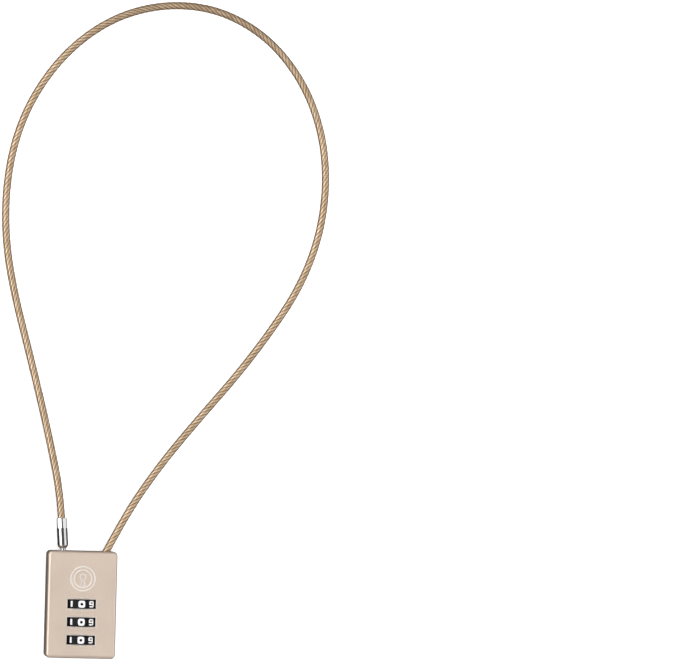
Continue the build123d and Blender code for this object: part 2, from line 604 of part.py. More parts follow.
# Ferrule: a smooth sleeve, domed where the pin enters it, pressed to six flats round the cable's end
with BuildPart() as ferrule:
    with BuildSketch(ferrule_plane):
        with BuildLine():
            dome_y = FERRULE_START + DOME_RADIUS
            Line((0, FERRULE_START), (0, FERRULE_END))
            Line((0, FERRULE_END), (FERRULE_RADIUS, FERRULE_END))
            Line((FERRULE_RADIUS, FERRULE_END), (FERRULE_RADIUS, dome_y))
            JernArc((FERRULE_RADIUS, dome_y), (0, -1), DOME_RADIUS, -90)
            Line((FERRULE_RADIUS - DOME_RADIUS, FERRULE_START), (0, FERRULE_START))
        make_face()
    revolve(axis=ferrule_axis)
    fillet(ferrule.edges().group_by(Axis.Y)[-1], SMALL_EDGE)
    crimp_origin = neck + ferrule_direction * (FERRULE_END - CRIMP_LENGTH)
    with BuildSketch(Plane(origin=crimp_origin, x_dir=(0, 0, 1), z_dir=ferrule_direction)):
        Circle(FERRULE_RADIUS + BEYOND)
        RegularPolygon(CRIMP_HALF, CRIMP_FLATS, major_radius=False, mode=Mode.SUBTRACT)
    extrude(amount=CRIMP_LENGTH + BEYOND, mode=Mode.SUBTRACT)
    with BuildSketch(Plane(origin=neck, z_dir=ferrule_direction)):
        Circle(PIN_RADIUS + BORE_SLACK)
    extrude(amount=SHANK_END + BORE_SLACK, mode=Mode.SUBTRACT)
    cord_bore_origin = neck + ferrule_direction * (CORD_END - BORE_SLACK)
    with BuildSketch(Plane(origin=cord_bore_origin, z_dir=ferrule_direction)):
        Circle(CORD_RADIUS + BORE_SLACK)
    extrude(amount=FERRULE_END, mode=Mode.SUBTRACT)
finish(ferrule, "ferrule")

# Cable anchor: a crimped sleeve inside the end wall, larger than the bore that the cable leaves by
with BuildPart() as cable_anchor:
    with BuildSketch(exit_plane.offset(ANCHOR_BACK)):
        Circle(ANCHOR_RADIUS)
    extrude(amount=ANCHOR_FRONT - ANCHOR_BACK)
    fillet(cable_anchor.edges(), SMALL_EDGE)
    with BuildSketch(exit_plane.offset(CORD_START - BORE_SLACK)):
        Circle(CORD_RADIUS + BORE_SLACK)
    extrude(amount=ANCHOR_FRONT - CORD_START + BEYOND, mode=Mode.SUBTRACT)
finish(cable_anchor, "cable_anchor")

# Cable: straight out of the bore, down to the table, round the loop and up into the ferrule
exit_point = Vector(EXIT_X, TOP_Y, CORD_Z)
exit_vector = Vector(*exit_direction)
route = [
    exit_point + exit_vector * CORD_START,
    exit_point + exit_vector * EXIT_RUN,
    Vector(16.2, 32.2, 4.5),
    Vector(24.7, 44.2, 2.8),
    Vector(34.8, 56.6, 1.5),
    Vector(45.3, 69.1, CORD_FLOOR_Z),
    Vector(54.8, 82.1, CORD_FLOOR_Z),
    Vector(63.2, 95.5, CORD_FLOOR_Z),
    Vector(68.7, 110.5, CORD_FLOOR_Z),
    Vector(70.6, 126.5, CORD_FLOOR_Z),
    Vector(68.7, 142.5, CORD_FLOOR_Z),
    Vector(62.4, 157.4, CORD_FLOOR_Z),
    Vector(52, 169.6, CORD_FLOOR_Z),
    Vector(38, 177.3, CORD_FLOOR_Z),
    Vector(22.5, 178.9, CORD_FLOOR_Z),
    Vector(7, 174.9, CORD_FLOOR_Z),
    Vector(-6.4, 165.5, CORD_FLOOR_Z),
    Vector(-16.5, 152.4, CORD_FLOOR_Z),
    Vector(-22.6, 138, CORD_FLOOR_Z),
    Vector(-25.1, 122, CORD_FLOOR_Z),
    Vector(-24.6, 106, CORD_FLOOR_Z),
    Vector(-21.5, 90.5, CORD_FLOOR_Z),
    Vector(-17, 74.5, 1.5),
    Vector(-12.9, 59, 2.8),
    Vector(-9.4, 44.5, 4.5),
    neck + ferrule_direction * FERRULE_RUN,
    neck + ferrule_direction * CORD_END,
]
SPLIT_AFTER = 9
split_point = (route[SPLIT_AFTER] + route[SPLIT_AFTER + 1]) / 2


def arc_radius(before, corner, after):
    """The largest arc that two runs allow, with a straight piece left between neighbouring arcs."""
    arriving = corner - before
    leaving = after - corner
    half_turn = math.radians(arriving.get_angle(leaving) / 2)
    return ARC_SHARE * min(arriving.length, leaving.length) / math.tan(half_turn)


radii = [arc_radius(*corner) for corner in zip(route, route[1:], route[2:])]
print("cable arc radii", [round(radius, 1) for radius in radii])


def cord_tube(points, corner_radii):
    """A round tube along straight runs joined by tangent arcs. Returns the length of its middle line."""
    with BuildLine() as path:
        FilletPolyline(*points, radius=corner_radii)
    with BuildSketch(Plane(origin=path.line @ 0, z_dir=path.line % 0)) as cord_section:
        Circle(CORD_RADIUS)
    sweep(cord_section.sketch, path=path.line)
    return sum(edge.length for edge in path.edges())


with BuildPart() as cable_fixed_half:
    fixed_length = cord_tube(route[: SPLIT_AFTER + 1] + [split_point], radii[:SPLIT_AFTER])
finish(cable_fixed_half, "cable_fixed_half")

with BuildPart() as cable_free_half:
    free_length = cord_tube([split_point] + route[SPLIT_AFTER + 1 :], radii[SPLIT_AFTER:])
finish(cable_free_half, "cable_free_half")

section_area = math.pi * CORD_RADIUS**2
for half, length in ((cable_fixed_half, fixed_length), (cable_free_half, free_length)):
    ratio = half.part.volume / (section_area * length)
    print(half.part.label, "length", round(length, 1), "volume over section times length", round(ratio, 4))
print("cable length", round(fixed_length + free_length, 1))
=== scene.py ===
import math

import bmesh
import bpy
from mathutils import Matrix, Vector


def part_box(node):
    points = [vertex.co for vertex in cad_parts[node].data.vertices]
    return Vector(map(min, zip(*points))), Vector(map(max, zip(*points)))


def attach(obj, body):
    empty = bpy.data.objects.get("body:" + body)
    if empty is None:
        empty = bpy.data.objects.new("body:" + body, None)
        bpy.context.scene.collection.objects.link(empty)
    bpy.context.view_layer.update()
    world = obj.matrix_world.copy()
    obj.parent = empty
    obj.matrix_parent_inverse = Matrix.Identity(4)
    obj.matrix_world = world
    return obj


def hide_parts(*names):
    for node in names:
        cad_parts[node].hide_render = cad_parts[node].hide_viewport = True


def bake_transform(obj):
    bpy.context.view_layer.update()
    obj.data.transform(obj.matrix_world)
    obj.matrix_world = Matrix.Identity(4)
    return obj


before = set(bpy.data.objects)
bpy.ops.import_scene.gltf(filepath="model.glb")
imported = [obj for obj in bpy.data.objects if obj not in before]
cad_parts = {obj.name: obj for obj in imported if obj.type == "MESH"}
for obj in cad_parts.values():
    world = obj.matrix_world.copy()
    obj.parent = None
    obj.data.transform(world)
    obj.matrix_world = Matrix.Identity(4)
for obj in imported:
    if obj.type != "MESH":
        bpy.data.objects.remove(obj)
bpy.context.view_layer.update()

MM = 0.001

# ---------------------------------------------------------------- camera
# A long lens looks down at the lock lying on its back, a little from its left.
LENS_MM = 300
FAR_CLIP = 20
AIM = Vector((74.94, 82.98, 5.5)) * MM
DISTANCE = 1.6816
FROM_LEFT = math.radians(6.54)
FROM_TOP = math.radians(-1.35)
ROLL = math.radians(1.44)


def add_camera():
    """The scene's camera, rolled about its own line of sight."""
    data = bpy.data.cameras.new("camera")
    data.lens = LENS_MM
    data.clip_end = FAR_CLIP
    camera = bpy.data.objects.new("camera", data)
    bpy.context.scene.collection.objects.link(camera)
    back = Vector((-math.tan(FROM_LEFT), math.tan(FROM_TOP), 1)).normalized()
    right = Vector((0, 1, 0)).cross(back).normalized()
    up = back.cross(right)
    rolled_right = right * math.cos(ROLL) + up * math.sin(ROLL)
    rolled_up = back.cross(rolled_right)
    turn = Matrix((rolled_right, rolled_up, back)).transposed()
    camera.matrix_world = Matrix.Translation(AIM + back * DISTANCE) @ turn.to_4x4()
    bpy.context.scene.camera = camera


add_camera()

# ---------------------------------------------------------------- the cable's route
CORD_Z = 5.5
FLOOR_Z = 1.1
CORD_RADIUS = 1.1
EXIT = Vector((7.2, 15.8, CORD_Z))
EXIT_LEAN = math.radians(27)
NECK = Vector((-5.55, 16, CORD_Z))
FERRULE_LEAN = math.radians(4.2)
ROUTE_RESOLUTION = 40
exit_direction = Vector((math.sin(EXIT_LEAN), math.cos(EXIT_LEAN), 0))
ferrule_direction = Vector((-math.sin(FERRULE_LEAN), math.cos(FERRULE_LEAN), 0))
ROUTE = [
    EXIT + exit_direction * -5.5,
    EXIT + exit_direction * 7,
    Vector((16.2, 32.2, 4.5)),
    Vector((24.7, 44.2, 2.8)),
    Vector((34.8, 56.6, 1.5)),
    Vector((45.3, 69.1, FLOOR_Z)),
    Vector((54.8, 82.1, FLOOR_Z)),
    Vector((63.2, 95.5, FLOOR_Z)),
    Vector((68.7, 110.5, FLOOR_Z)),
    Vector((70.6, 126.5, FLOOR_Z)),
    Vector((68.7, 142.5, FLOOR_Z)),
    Vector((62.4, 157.4, FLOOR_Z)),
    Vector((52, 169.6, FLOOR_Z)),
    Vector((38, 177.3, FLOOR_Z)),
    Vector((22.5, 178.9, FLOOR_Z)),
    Vector((7, 174.9, FLOOR_Z)),
    Vector((-6.4, 165.5, FLOOR_Z)),
    Vector((-16.5, 152.4, FLOOR_Z)),
    Vector((-22.6, 138, FLOOR_Z)),
    Vector((-25.1, 122, FLOOR_Z)),
    Vector((-24.6, 106, FLOOR_Z)),
    Vector((-21.5, 90.5, FLOOR_Z)),
    Vector((-17, 74.5, 1.5)),
    Vector((-12.9, 59, 2.8)),
    Vector((-9.4, 44.5, 4.5)),
    NECK + ferrule_direction * 15.5,
    NECK + ferrule_direction * 4.5,
]


def route_line():
    """The points, in metres, of a smooth NURBS line that the route's points control."""
    curve = bpy.data.curves.new("cable_route", "CURVE")
    curve.dimensions = "3D"
    curve.resolution_u = ROUTE_RESOLUTION
    spline = curve.splines.new("NURBS")
    spline.points.add(len(ROUTE) - 1)
    for point, place in zip(spline.points, ROUTE):
        point.co = (*(place * MM), 1)
    spline.order_u = 3
    spline.use_endpoint_u = True
    holder = bpy.data.objects.new("cable_route", curve)
    mesh = bpy.data.meshes.new_from_object(holder)
    line = [vertex.co.copy() for vertex in mesh.vertices]
    bpy.data.objects.remove(holder)
    bpy.data.meshes.remove(mesh)
    bpy.data.curves.remove(curve)
    return line


# ---------------------------------------------------------------- node trees
def new_material(name):
    """A material with only its shader and output: (material, nodes, links, shader)."""
    material = bpy.data.materials.new(name)
    material.use_nodes = True
    nodes = material.node_tree.nodes
    shader = nodes["Principled BSDF"]
    return material, nodes, material.node_tree.links, shader


def noise(nodes, links, scale, detail=3, source=None, stretch=None):
    """The factor output of a noise texture in the object's own coordinates, in metres."""
    texture = nodes.new("ShaderNodeTexNoise")
    texture.inputs["Scale"].default_value = scale
    texture.inputs["Detail"].default_value = detail
    place = source or nodes.new("ShaderNodeTexCoord").outputs["Object"]
    if stretch:
        mapping = nodes.new("ShaderNodeMapping")
        mapping.inputs["Scale"].default_value = stretch
        links.new(place, mapping.inputs["Vector"])
        place = mapping.outputs["Vector"]
    links.new(place, texture.inputs["Vector"])
    return texture.outputs["Fac"]


def ramp(nodes, links, source, stops):
    """A colour ramp over a factor; stops are (position, (r, g, b))."""
    node = nodes.new("ShaderNodeValToRGB")
    links.new(source, node.inputs["Fac"])
    elements = node.color_ramp.elements
    while len(elements) < len(stops):
        elements.new(0.5)
    for element, (position, colour) in zip(elements, stops):
        element.position = position
        element.color = (*colour, 1)
    return node.outputs["Color"]


def value_range(nodes, links, source, low, high):
    """A factor of 0 to 1 mapped to a range of values."""
    node = nodes.new("ShaderNodeMapRange")
    node.inputs["To Min"].default_value = low
    node.inputs["To Max"].default_value = high
    links.new(source, node.inputs["Value"])
    return node.outputs["Result"]


def colour_socket(sockets, name):
    """The colour socket with this name on a Mix node, which has one of each kind."""
    return next(socket for socket in sockets if socket.name == name and socket.type == "RGBA")


def mixed_colour(nodes, links, first, second, factor, blend_type="MIX"):
    """Two colours mixed or multiplied; factor is a number, or a socket that gives one."""
    node = nodes.new("ShaderNodeMix")
    node.data_type = "RGBA"
    node.blend_type = blend_type
    if isinstance(factor, float):
        node.inputs["Factor"].default_value = factor
    else:
        links.new(factor, node.inputs["Factor"])
    links.new(first, colour_socket(node.inputs, "A"))
    links.new(second, colour_socket(node.inputs, "B"))
    return colour_socket(node.outputs, "Result")


def compare(nodes, links, operation, source, limit):
    """1 where the source passes the limit, and 0 elsewhere."""
    node = nodes.new("ShaderNodeMath")
    node.operation = operation
    node.inputs[1].default_value = limit
    links.new(source, node.inputs[0])
    return node.outputs["Value"]


def bump(nodes, links, shader, height, strength, distance):
    """Fine relief on the shader, from a height factor; distance is in metres."""
    node = nodes.new("ShaderNodeBump")
    node.inputs["Strength"].default_value = strength
    node.inputs["Distance"].default_value = distance
    links.new(height, node.inputs["Height"])
    links.new(node.outputs["Normal"], shader.inputs["Normal"])


# a metal's roughness where its grain is smoothest and where it is roughest, as shares of its own
SMOOTHEST, ROUGHEST = 0.8, 1.25


def metal(name, dark, light, roughness, grain_scale, grain_bump, stretch=None):
    """A plain metal whose colour, roughness and fine surface all come from one grain."""
    material, nodes, links, shader = new_material(name)
    shader.inputs["Metallic"].default_value = 1.0
    grain = noise(nodes, links, grain_scale, detail=4, stretch=stretch)
    links.new(ramp(nodes, links, grain, [(0.3, dark), (0.7, light)]), shader.inputs["Base Color"])
    rough = value_range(nodes, links, grain, low=roughness * SMOOTHEST, high=roughness * ROUGHEST)
    links.new(rough, shader.inputs["Roughness"])
    bump(nodes, links, shader, grain, strength=0.4, distance=grain_bump)
    return material


# ---------------------------------------------------------------- materials
# in metres: how deep the chamfers reach, what is left of the face, and how far out from the dials
RIM_DEPTH = 0.00034
RIM_SKIN = 0.00001
RIM_REACH = 0.0006
DRIFT_SHARE = 0.35


def chamfer_highlight_mask(nodes, links):
    """1 on the chamfers round the dial windows, where the highlight is painted, and 0 elsewhere."""
    face_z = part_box("front_casing")[1][2]
    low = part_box("dial_3")[0]
    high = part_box("dial_1")[1]
    split = nodes.new("ShaderNodeSeparateXYZ")
    links.new(nodes.new("ShaderNodeTexCoord").outputs["Object"], split.inputs["Vector"])
    mask = compare(nodes, links, "GREATER_THAN", split.outputs["Z"], face_z - RIM_DEPTH)
    for operation, output, limit in (
        ("LESS_THAN", "Z", face_z - RIM_SKIN),
        ("LESS_THAN", "X", high[0] + RIM_REACH),
        ("GREATER_THAN", "X", low[0] - RIM_REACH),
        ("LESS_THAN", "Y", high[1] + RIM_REACH),
        ("GREATER_THAN", "Y", low[1] - RIM_REACH),
    ):
        both = nodes.new("ShaderNodeMath")
        both.operation = "MULTIPLY"
        links.new(mask, both.inputs[0])
        links.new(compare(nodes, links, operation, split.outputs[output], limit), both.inputs[1])
        mask = both.outputs["Value"]
    return mask


def casing_material():
    """Champagne lacquer over die-cast zinc: fine metallic grain and a slow drift of tone, with a painted
    highlight, paler and less metallic, on the window chamfers.
    """
    material, nodes, links, shader = new_material("champagne_satin")
    grain = noise(nodes, links, scale=5200, detail=2)
    drift = noise(nodes, links, scale=90, detail=2)
    mixed = nodes.new("ShaderNodeMix")
    mixed.inputs["Factor"].default_value = DRIFT_SHARE
    links.new(grain, mixed.inputs["A"])
    links.new(drift, mixed.inputs["B"])
    tone = [(0.3, (0.80, 0.655, 0.545)), (0.7, (0.90, 0.745, 0.625))]
    lacquer = ramp(nodes, links, mixed.outputs["Result"], tone)
    # painted highlight: the window chamfers are painted paler than the lacquer and made less metallic
    painted_chamfer_highlight = ramp(nodes, links, grain, [(0.3, (0.84, 0.76, 0.69)), (0.7, (0.90, 0.83, 0.77))])
    mask = chamfer_highlight_mask(nodes, links)
    links.new(mixed_colour(nodes, links, lacquer, painted_chamfer_highlight, mask), shader.inputs["Base Color"])
    links.new(value_range(nodes, links, mask, low=0.55, high=0.25), shader.inputs["Metallic"])
    links.new(value_range(nodes, links, drift, low=0.28, high=0.38), shader.inputs["Roughness"])
    bump(nodes, links, shader, grain, strength=0.25, distance=0.00002)
    return material


def dial_material():
    """Moulded black plastic, a little paler where fingers polish it."""
    material, nodes, links, shader = new_material("dial_plastic")
    grain = noise(nodes, links, scale=2600)
    shader.inputs["Specular IOR Level"].default_value = 0.2
    tone = [(0.3, (0.003, 0.003, 0.004)), (0.75, (0.009, 0.009, 0.010))]
    links.new(ramp(nodes, links, grain, tone), shader.inputs["Base Color"])
    links.new(value_range(nodes, links, grain, low=0.32, high=0.5), shader.inputs["Roughness"])
    bump(nodes, links, shader, grain, strength=0.2, distance=0.00001)
    return material


def paint_material():
    """Printed white, slightly uneven in strength."""
    material, nodes, links, shader = new_material("numeral_paint")
    grain = noise(nodes, links, scale=3000)
    tone = [(0.25, (0.88, 0.88, 0.88)), (0.6, (0.97, 0.97, 0.97))]
    links.new(ramp(nodes, links, grain, tone), shader.inputs["Base Color"])
    shader.inputs["Roughness"].default_value = 0.55
    bump(nodes, links, shader, grain, strength=0.2, distance=0.000006)
    return material


def etch_material():
    """Laser-etched marks: pale and matt, with a fine frosted grain."""
    material, nodes, links, shader = new_material("laser_etch")
    grain = noise(nodes, links, scale=6000)
    tone = [(0.3, (0.76, 0.72, 0.67)), (0.7, (0.86, 0.82, 0.78))]
    links.new(ramp(nodes, links, grain, tone), shader.inputs["Base Color"])
    links.new(value_range(nodes, links, grain, low=0.5, high=0.7), shader.inputs["Roughness"])
    bump(nodes, links, shader, grain, strength=0.3, distance=0.00001)
    return material


STRANDS = 6
HALF_STRAND = 0.5
WIRE_SLANT = (0.62, 7.0, 1)
WIRE_SHADE = 0.28
CLOUD_SHADE = 0.5


def rope_material():
    """Golden wire strands in a clear sheath, with painted shade in the valleys between strands and a
    painted highlight on their crowns. The UV map holds the place along the rope and round it.
    """
    material, nodes, links, shader = new_material("coated_wire_rope")
    shader.inputs["Metallic"].default_value = 0.6
    shader.inputs["Coat Weight"].default_value = 1.0
    shader.inputs["Coat Roughness"].default_value = 0.15
    shader.inputs["Coat IOR"].default_value = 1.04
    shader.inputs["Coat Tint"].default_value = (0.9, 0.79, 0.68, 1)
    uv = nodes.new("ShaderNodeUVMap")
    uv.uv_map = "rope"
    split = nodes.new("ShaderNodeSeparateXYZ")
    links.new(uv.outputs["UV"], split.inputs["Vector"])
    # 0 in the valley between two strands, 1 on a strand's crown
    phase = nodes.new("ShaderNodeMath")
    phase.operation = "MULTIPLY"
    phase.inputs[1].default_value = STRANDS
    links.new(split.outputs["Y"], phase.inputs[0])
    crown = nodes.new("ShaderNodeMath")
    crown.operation = "PINGPONG"
    crown.inputs[1].default_value = HALF_STRAND
    links.new(phase.outputs["Value"], crown.inputs[0])
    height = value_range(nodes, links, crown.outputs["Value"], low=0, high=1)
    height.node.inputs["From Max"].default_value = HALF_STRAND
    # painted shade and highlight: dark brown in the valleys between strands, near white on the crowns
    tone = [
        (0.0, (0.26, 0.14, 0.06)),
        (0.3, (0.80, 0.60, 0.40)),
        (0.62, (1.0, 0.90, 0.72)),
        (1.0, (1.0, 0.98, 0.92)),
    ]
    strand_shade_and_highlight = ramp(nodes, links, height, tone)
    # the fine wires of each strand lie at a slant across it
    wires = nodes.new("ShaderNodeTexWave")
    wires.inputs["Scale"].default_value = 1.0
    wires.inputs["Distortion"].default_value = 0.4
    slant = nodes.new("ShaderNodeMapping")
    slant.inputs["Scale"].default_value = WIRE_SLANT
    links.new(uv.outputs["UV"], slant.inputs["Vector"])
    links.new(slant.outputs["Vector"], wires.inputs["Vector"])
    wired = mixed_colour(nodes, links, strand_shade_and_highlight, wires.outputs["Color"], WIRE_SHADE, "MULTIPLY")
    # the sheath is cloudy in places
    haze = noise(nodes, links, scale=620)
    cloud = ramp(nodes, links, haze, [(0.36, (0.66, 0.56, 0.46)), (0.58, (1, 1, 1))])
    clouded = mixed_colour(nodes, links, wired, cloud, CLOUD_SHADE, "MULTIPLY")
    links.new(clouded, shader.inputs["Base Color"])
    links.new(value_range(nodes, links, height, low=0.42, high=0.27), shader.inputs["Roughness"])
    bump(nodes, links, shader, wires.outputs["Fac"], strength=0.3, distance=0.00003)
    return material


CHROME = metal(
    "polished_chrome",
    dark=(0.72, 0.73, 0.75),
    light=(0.86, 0.86, 0.88),
    roughness=0.06,
    grain_scale=900,
    grain_bump=0.000002,
)
STEEL = metal(
    "mechanism_steel",
    dark=(0.42, 0.42, 0.44),
    light=(0.62, 0.62, 0.64),
    roughness=0.3,
    grain_scale=700,
    grain_bump=0.00001,
    stretch=(1, 0.1, 1),
)
SPRING = metal(
    "spring_steel",
    dark=(0.30, 0.31, 0.34),
    light=(0.52, 0.53, 0.56),
    roughness=0.22,
    grain_scale=900,
    grain_bump=0.000006,
    stretch=(1, 0.1, 1),
)
RIVET = metal(
    "rivet_steel",
    dark=(0.44, 0.38, 0.33),
    light=(0.62, 0.55, 0.48),
    roughness=0.34,
    grain_scale=1400,
    grain_bump=0.00001,
)
SLEEVE = metal(
    "crimped_sleeve",
    dark=(0.36, 0.36, 0.37),
    light=(0.56, 0.56, 0.57),
    roughness=0.35,
    grain_scale=1200,
    grain_bump=0.00001,
)
BRASS = metal(
    "turned_brass",
    dark=(0.55, 0.38, 0.14),
    light=(0.78, 0.60, 0.28),
    roughness=0.25,
    grain_scale=800,
    grain_bump=0.000008,
    stretch=(0.1, 1, 0.1),
)
CASING = casing_material()
DIAL = dial_material()
PAINT = paint_material()
ETCH = etch_material()
ROPE = rope_material()

NODE_MATERIALS = {
    "front_casing": CASING,
    "rear_cover": CASING,
    "cover_rivets": RIVET,
    "cable_anchor": SLEEVE,
    "detent_leaf": SPRING,
    "latch_leaf": SPRING,
    "spindle_spring": SPRING,
    "reset_spring": SPRING,
    "spindle": STEEL,
    "reset_slider": STEEL,
    "reset_button": STEEL,
    "lock_pin": CHROME,
    "ferrule": CHROME,
}
for number in (1, 2, 3):
    NODE_MATERIALS[f"dial_{number}"] = DIAL
    NODE_MATERIALS[f"dial_{number}_numerals"] = PAINT
    NODE_MATERIALS[f"clutch_ring_{number}"] = BRASS
for node, material in NODE_MATERIALS.items():
    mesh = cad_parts[node].data
    mesh.materials.clear()
    mesh.materials.append(material)

# ---------------------------------------------------------------- the wire rope
LAY_LENGTH = 9.6 * MM
RING_STEP = 0.4 * MM
POINTS_PER_STRAND = 12
VALLEY = 0.08


def walk(line, step):
    """Points at even steps along a line, both ends included."""
    places = [line[0].copy()]
    left = step
    for start, end in zip(line, line[1:]):
        length = (end - start).length
        while left < length:
            places.append(start.lerp(end, left / length))
            left += step
        left -= length
    places.append(line[-1].copy())
    return places


def strand_profile(turn):
    """The rope's radius, as a share of its full one, at an angle in turns: six round crowns."""
    across = (turn * STRANDS) % 1 * 2 - 1
    return 1 - VALLEY * (1 - math.sqrt(max(0.0, 1 - across * across)))


def rope_mesh(line):
    """A closed tube along the line whose crowns and valleys turn with the lay."""
    around = STRANDS * POINTS_PER_STRAND
    places = walk(line, RING_STEP)
    verts, uvs, rings = [], [], len(places)
    across = None
    for index, place in enumerate(places):
        ahead = places[min(index + 1, rings - 1)] - places[max(index - 1, 0)]
        ahead.normalize()
        if across is None:
            across = ahead.cross(Vector((0, 0, 1)))
        across = (across - ahead * across.dot(ahead)).normalized()
        other = ahead.cross(across)
        twist = index * RING_STEP / LAY_LENGTH
        for step in range(around):
            share = step / around
            angle = 2 * math.pi * (share + twist)
            radius = CORD_RADIUS * MM * strand_profile(share)
            verts.append(place + (across * math.cos(angle) + other * math.sin(angle)) * radius)
    faces = []
    for ring in range(rings - 1):
        for step in range(around):
            a = ring * around + step
            b = ring * around + (step + 1) % around
            faces.append((a, b, b + around, a + around))
            u = ring * RING_STEP / MM
            v = step / around
            u_next, v_next = u + RING_STEP / MM, v + 1 / around
            uvs += [(u, v), (u, v_next), (u_next, v_next), (u_next, v)]
    for first, flip in ((0, True), ((rings - 1) * around, False)):
        ring = list(range(first, first + around))
        faces.append(tuple(reversed(ring)) if flip else tuple(ring))
        uvs += [(0, 0)] * around
    mesh = bpy.data.meshes.new("wire_rope")
    mesh.from_pydata(verts, [], faces)
    layer = mesh.uv_layers.new(name="rope")
    layer.data.foreach_set("uv", [value for pair in uvs for value in pair])
    mesh.polygons.foreach_set("use_smooth", [True] * len(mesh.polygons))
    mesh.materials.append(ROPE)
    mesh.update()
    return mesh


def add_piece(name, mesh, body):
    """An object for the mesh that rides on a body."""
    piece = bpy.data.objects.new(name, mesh)
    bpy.context.scene.collection.objects.link(piece)
    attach(piece, body)
    return piece


line = route_line()
rope = bpy.data.objects.new("wire_rope", rope_mesh(line))
bpy.context.scene.collection.objects.link(rope)
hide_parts("cable_fixed_half", "cable_free_half")
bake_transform(rope)

# ---------------------------------------------------------------- coil springs
RINGS_PER_TURN = 36
WIRE_SIDES = 12
SPRING_WIRE = 0.2 * MM
SPINDLE_SPRING_TURNS = 3
RESET_SPRING_TURNS = 5


def coil_mesh(low, high, wire, turns):
    """A closed helix of round wire along Y that fills the box between two corners."""
    middle = (low + high) / 2
    radius = (high.x - low.x - wire) / 2
    rise = high.y - low.y - wire
    rings = turns * RINGS_PER_TURN + 1
    verts = []
    for ring in range(rings):
        angle = 2 * math.pi * ring / RINGS_PER_TURN
        outward = Vector((math.cos(angle), 0, math.sin(angle)))
        centre = Vector((middle.x, low.y + wire / 2 + rise * ring / (rings - 1), middle.z))
        for side in range(WIRE_SIDES):
            lean = 2 * math.pi * side / WIRE_SIDES
            across = outward * (radius + math.cos(lean) * wire / 2)
            verts.append(centre + across + Vector((0, math.sin(lean) * wire / 2, 0)))
    faces = []
    for ring in range(rings - 1):
        for side in range(WIRE_SIDES):
            a, b = ring * WIRE_SIDES + side, ring * WIRE_SIDES + (side + 1) % WIRE_SIDES
            faces.append((a, b, b + WIRE_SIDES, a + WIRE_SIDES))
    faces.append(tuple(reversed(range(WIRE_SIDES))))
    faces.append(tuple(range((rings - 1) * WIRE_SIDES, rings * WIRE_SIDES)))
    mesh = bpy.data.meshes.new("coil_spring")
    mesh.from_pydata(verts, [], faces)
    mesh.polygons.foreach_set("use_smooth", [True] * len(mesh.polygons))
    mesh.materials.append(SPRING)
    mesh.update()
    return mesh


def add_spring(node, wire, turns):
    """A spring in place of a CAD node."""
    low, high = (Vector(corner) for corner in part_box(node))
    piece = bpy.data.objects.new(f"{node}_coil", coil_mesh(low, high, wire, turns))
    bpy.context.scene.collection.objects.link(piece)
    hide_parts(node)
    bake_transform(piece)


add_spring("spindle_spring", SPRING_WIRE, SPINDLE_SPRING_TURNS)
add_spring("reset_spring", SPRING_WIRE, RESET_SPRING_TURNS)

# ---------------------------------------------------------------- etched marks on the dial face
FACE_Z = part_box("front_casing")[1][2]
EMBLEM = Vector((0.15, 7.68)) * MM
EMBLEM_RADIUS = 3.7 * MM
EMBLEM_LINE = 0.3 * MM
INNER_LINE_RADIUS = 2.75 * MM
CIRCLE_POINTS = 96
KEYHOLE_RADIUS = 0.95 * MM
KEYHOLE_LINE = 0.24 * MM
KEYHOLE_TOP = 0.55 * MM
# half its width at the top, half its width at the foot, and its drop
KEYHOLE_SLOT = (0.4 * MM, 0.75 * MM, 2.6 * MM)
KEYHOLE_POINTS = 40
ETCH_RISE = 0.012 * MM
ETCH_SUNK = 0.02 * MM
# by the window and at the tip
TICK_WIDTHS = (0.42 * MM, 0.2 * MM)
TICK_LENGTH = 0.6 * MM
WINDOW_MARGIN = 0.26 * MM


def band(outline, width):
    """The inner outline of a band: each point moved square to its neighbours, to the left, by width."""
    count = len(outline)
    inner = []
    for index, point in enumerate(outline):
        along = outline[(index + 1) % count] - outline[index - 1]
        inner.append(point + Vector((-along.y, along.x)).normalized() * width)
    return inner


def add_band(builder, outer, inner):
    """A closed, flat-topped band between two outlines, standing a hair proud of the face."""
    levels = (FACE_Z - ETCH_SUNK, FACE_Z + ETCH_RISE)
    rings = [[builder.verts.new((p.x, p.y, z)) for p in side] for side in (outer, inner) for z in levels]
    outer_low, outer_top, inner_low, inner_top = rings
    count = len(outer)
    loop = (outer_low, outer_top, inner_top, inner_low)
    for first, second in zip(loop, loop[1:] + loop[:1]):
        for index in range(count):
            after = (index + 1) % count
            builder.faces.new((first[index], first[after], second[after], second[index]))


def add_plate(builder, outline):
    """A closed flat plate with this outline, standing a hair proud of the face."""
    low = [builder.verts.new((p.x, p.y, FACE_Z - ETCH_SUNK)) for p in outline]
    top = [builder.verts.new((p.x, p.y, FACE_Z + ETCH_RISE)) for p in outline]
    builder.faces.new(top)
    builder.faces.new(list(reversed(low)))
    for index in range(len(outline)):
        after = (index + 1) % len(outline)
        builder.faces.new((low[index], low[after], top[after], top[index]))


def arc(centre, radius, start, end, count):
    """Evenly spaced points on an arc, both ends included."""
    angles = [start + (end - start) * step / (count - 1) for step in range(count)]
    return [centre + Vector((math.cos(angle), math.sin(angle))) * radius for angle in angles]


def finished_mesh(builder, name, material):
    """The builder's mesh with its faces turned outwards; the builder is freed."""
    bmesh.ops.recalc_face_normals(builder, faces=builder.faces)
    mesh = bpy.data.meshes.new(name)
    builder.to_mesh(mesh)
    builder.free()
    mesh.materials.append(material)
    return mesh


